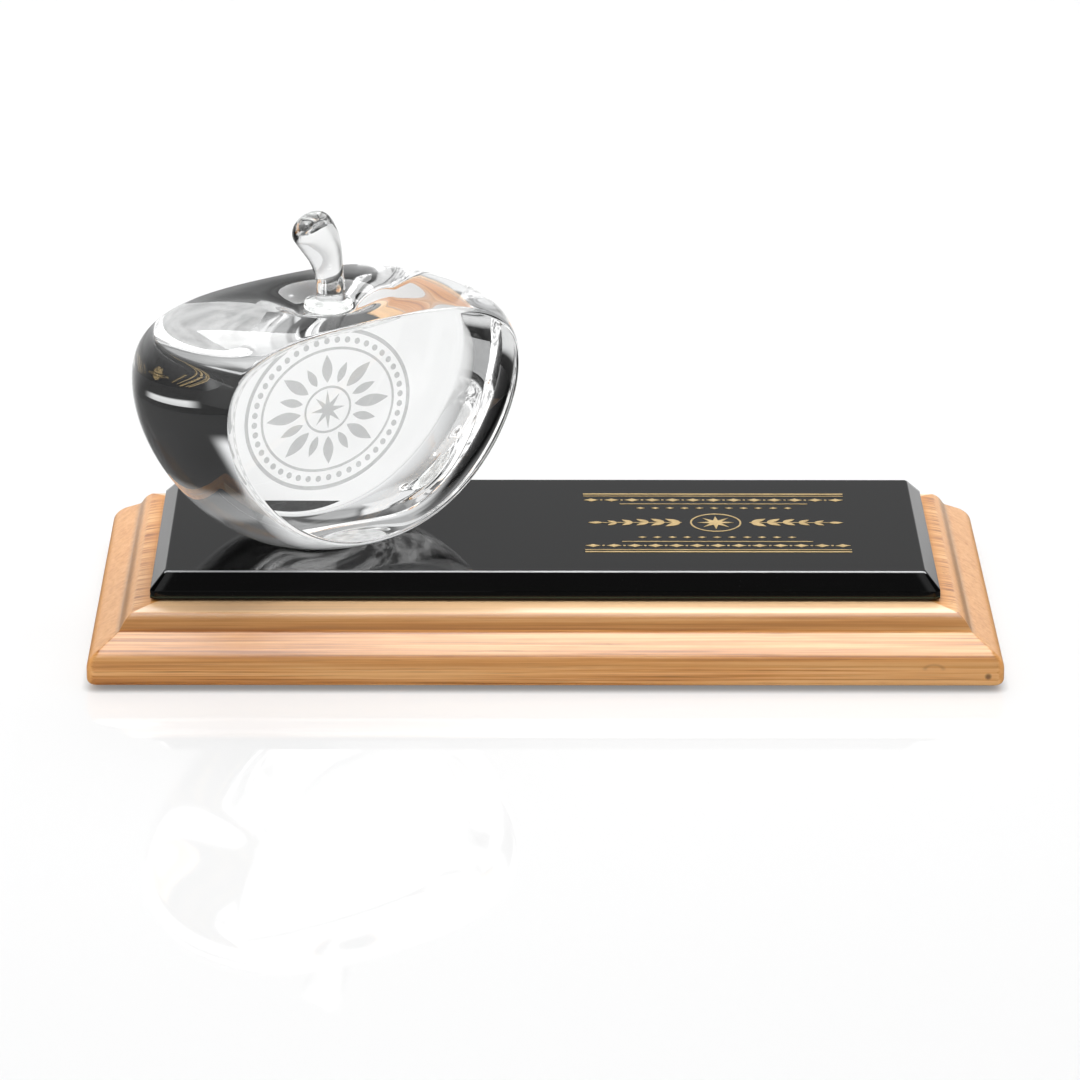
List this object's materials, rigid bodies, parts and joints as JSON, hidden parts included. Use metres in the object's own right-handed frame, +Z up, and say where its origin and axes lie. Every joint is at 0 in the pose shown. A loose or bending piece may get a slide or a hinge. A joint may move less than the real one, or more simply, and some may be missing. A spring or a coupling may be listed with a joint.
{
  "type": "glass apple award",
  "caption": "Desk award: a clear glass apple with flat faces, a collared glass stem and an etched medallion, bonded to a bevelled black glass plate on a moulded wooden base.",
  "frame": {"origin": "on the table, under the middle of the wooden base", "axes": "+X along the base's long side, to the right as seen from the front; -Y is the front; +Z up"},
  "size_m": [0.2636, 0.1256, 0.1265],
  "materials": {
    "honey_wood": "satin lacquer over honey-coloured wood",
    "felt": "matte felt",
    "foam_tape": "matte foam",
    "black_glass": "polished black glass",
    "gold_fill": "satin gold paint fill",
    "clear_glass": "polished clear glass",
    "clear_adhesive": "clear cured adhesive"
  },
  "bodies": {
    "root": {"felt_pad_front_left": "felt", "felt_pad_front_right": "felt", "felt_pad_back_left": "felt", "felt_pad_back_right": "felt", "wooden_base": "honey_wood", "mounting_tape_front": "foam_tape", "mounting_tape_back": "foam_tape", "glass_plate": "black_glass", "gold_rule_front": "gold_fill", "gold_rule_back": "gold_fill", "foot_adhesive": "clear_adhesive", "apple_body": "clear_glass", "collar_adhesive": "clear_adhesive", "stem_collar": "clear_glass", "stem_adhesive": "clear_adhesive", "stem": "clear_glass"}
  },
  "joints": []
}
